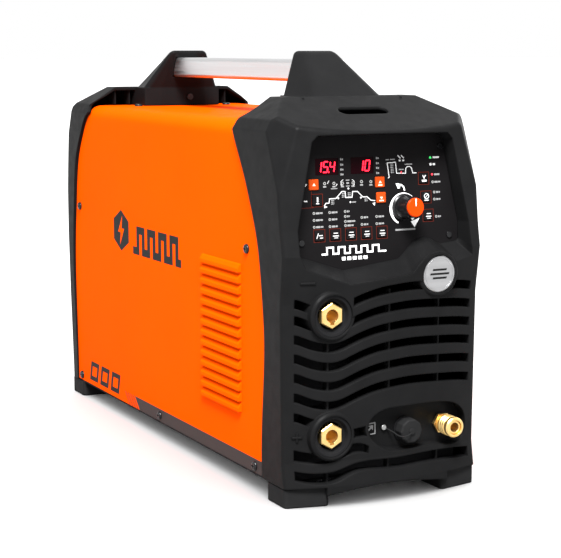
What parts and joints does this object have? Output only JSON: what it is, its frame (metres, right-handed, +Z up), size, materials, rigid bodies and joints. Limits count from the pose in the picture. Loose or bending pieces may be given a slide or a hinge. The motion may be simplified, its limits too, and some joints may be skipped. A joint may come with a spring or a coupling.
{
  "type": "tig welding machine",
  "caption": "Portable inverter TIG welding power source with a louvred steel case, moulded ends, a carrying bar, a sunk control panel, twist-lock sockets and a gas coupling.",
  "frame": {"origin": "centre of the footprint on the floor, below the middle of the overall length and width", "axes": "+Z up; the control panel faces -Y; +X is the right-hand side seen from the front"},
  "size_m": [0.2284, 0.6601, 0.4496],
  "materials": {
    "orange_paint": "satin powder coat",
    "dark_steel": "satin",
    "dark_moulding": "fine grained matte",
    "rubber": "matte",
    "screw_black": "satin",
    "screw_zinc": "satin",
    "zinc_metal": "satin",
    "bar_aluminium": "satin anodised",
    "panel_film": "fine matte film",
    "circuit_board": "solder mask",
    "display_red": "tinted glossy window",
    "key_orange": "satin",
    "key_dark": "matte film",
    "knob_black": "satin",
    "knob_orange": "satin",
    "badge_metal": "satin",
    "socket_black": "satin",
    "brass": "polished",
    "copper": "satin",
    "core_steel": "lacquered laminations",
    "capacitor_sleeve": "glossy sleeve",
    "heatsink_aluminium": "extruded",
    "hose_rubber": "matte"
  },
  "bodies": {
    "power_source": {"adjust_pot": "zinc_metal", "base_chassis": "dark_steel", "busbars": "copper", "cable_gland": "socket_black", "cap_screw": "screw_zinc", "capacitors": "capacitor_sleeve", "case_screws": "screw_black", "control_board": "circuit_board", "control_panel": "panel_film", "current_display": "display_red", "fan_frame": "socket_black", "front_badge": "badge_metal", "front_bezel": "dark_moulding", "front_left_foot": "rubber", "front_plate": "dark_steel", "front_right_foot": "rubber", "gas_hose": "hose_rubber", "gas_inlet": "brass", "gas_outlet_body": "brass", "gas_valve": "brass", "handle_bar": "bar_aluminium", "heatsink": "heatsink_aluminium", "hf_unit": "capacitor_sleeve", "lower_socket_contact": "brass", "lower_socket_flange": "socket_black", "main_transformer": "core_steel", "mains_switch_body": "socket_black", "mid_deck": "dark_steel", "output_choke": "copper", "panel_screws": "screw_black", "power_board": "circuit_board", "rear_bezel": "dark_moulding", "rear_left_foot": "rubber", "rear_plate": "dark_steel", "rear_right_foot": "rubber", "remote_socket": "socket_black", "top_cover": "orange_paint", "upper_socket_contact": "brass", "upper_socket_flange": "socket_black", "value_display": "display_red"},
    "control_knob": {"knob_shaft": "zinc_metal", "adjust_knob": "knob_black", "knob_cap": "knob_orange"},
    "protective_cap": {"remote_cap": "rubber", "remote_cap_strap": "rubber"},
    "coupling_sleeve": {"gas_outlet_sleeve": "brass"},
    "cooling_fan": {"fan_rotor": "socket_black"},
    "mains_knob": {"mains_switch_knob": "knob_black"},
    "polarity_up_button": {"polarity_up_key": "key_orange"},
    "polarity_down_button": {"polarity_down_key": "key_dark"},
    "parameter_next_button": {"parameter_next_key": "key_orange"},
    "parameter_back_button": {"parameter_back_key": "key_orange"},
    "pulse_button": {"pulse_key": "key_dark"},
    "process_button": {"process_key": "key_dark"},
    "waveform_button": {"waveform_key": "key_dark"},
    "trigger_mode_button": {"trigger_mode_key": "key_dark"},
    "recall_button": {"recall_key": "key_dark"},
    "gas_test_button": {"gas_test_key": "key_dark"},
    "remote_button": {"remote_key": "key_dark"},
    "spot_button": {"spot_key": "key_dark"}
  },
  "joints": [
    {"name": "control_knob_turn", "type": "hinge", "parent": "power_source", "child": "control_knob", "pos_m": [0.0317, -0.28833, 0.2935], "axis": [0, -0.9977, 0.0671], "range_deg": [-140, 140]},
    {"name": "mains_knob_turn", "type": "hinge", "parent": "power_source", "child": "mains_knob", "pos_m": [0.052, 0.31575, 0.31], "axis": [0, 1, 0], "range_deg": [0, 90]},
    {"name": "cooling_fan_spin", "type": "hinge", "parent": "power_source", "child": "cooling_fan", "pos_m": [0, 0.28375, 0.138], "axis": [0, 1, 0], "continuous": true},
    {"name": "protective_cap_pull", "type": "slide", "parent": "power_source", "child": "protective_cap", "axis": [0, -1, 0], "range_m": [0, 0.015], "deforming": ["remote_cap_strap"]},
    {"name": "coupling_sleeve_slide", "type": "slide", "parent": "power_source", "child": "coupling_sleeve", "axis": [0, 1, 0], "range_m": [0, 0.003], "stiffness_N_per_m": 1500},
    {"name": "polarity_up_press", "type": "slide", "parent": "power_source", "child": "polarity_up_button", "axis": [0, 0.9977, -0.0671], "range_m": [0, 0.0008], "stiffness_N_per_m": 1500},
    {"name": "polarity_down_press", "type": "slide", "parent": "power_source", "child": "polarity_down_button", "axis": [0, 0.9977, -0.0671], "range_m": [0, 0.0008], "stiffness_N_per_m": 1500},
    {"name": "parameter_next_press", "type": "slide", "parent": "power_source", "child": "parameter_next_button", "axis": [0, 0.9977, -0.0671], "range_m": [0, 0.0008], "stiffness_N_per_m": 1500},
    {"name": "parameter_back_press", "type": "slide", "parent": "power_source", "child": "parameter_back_button", "axis": [0, 0.9977, -0.0671], "range_m": [0, 0.0008], "stiffness_N_per_m": 1500},
    {"name": "pulse_press", "type": "slide", "parent": "power_source", "child": "pulse_button", "axis": [0, 0.9977, -0.0671], "range_m": [0, 0.0008], "stiffness_N_per_m": 1500},
    {"name": "process_press", "type": "slide", "parent": "power_source", "child": "process_button", "axis": [0, 0.9977, -0.0671], "range_m": [0, 0.0008], "stiffness_N_per_m": 1500},
    {"name": "waveform_press", "type": "slide", "parent": "power_source", "child": "waveform_button", "axis": [0, 0.9977, -0.0671], "range_m": [0, 0.0008], "stiffness_N_per_m": 1500},
    {"name": "trigger_mode_press", "type": "slide", "parent": "power_source", "child": "trigger_mode_button", "axis": [0, 0.9977, -0.0671], "range_m": [0, 0.0008], "stiffness_N_per_m": 1500},
    {"name": "recall_press", "type": "slide", "parent": "power_source", "child": "recall_button", "axis": [0, 0.9977, -0.0671], "range_m": [0, 0.0008], "stiffness_N_per_m": 1500},
    {"name": "gas_test_press", "type": "slide", "parent": "power_source", "child": "gas_test_button", "axis": [0, 0.9977, -0.0671], "range_m": [0, 0.0008], "stiffness_N_per_m": 1500},
    {"name": "remote_press", "type": "slide", "parent": "power_source", "child": "remote_button", "axis": [0, 0.9977, -0.0671], "range_m": [0, 0.0008], "stiffness_N_per_m": 1500},
    {"name": "spot_press", "type": "slide", "parent": "power_source", "child": "spot_button", "axis": [0, 0.9977, -0.0671], "range_m": [0, 0.0008], "stiffness_N_per_m": 1500}
  ]
}
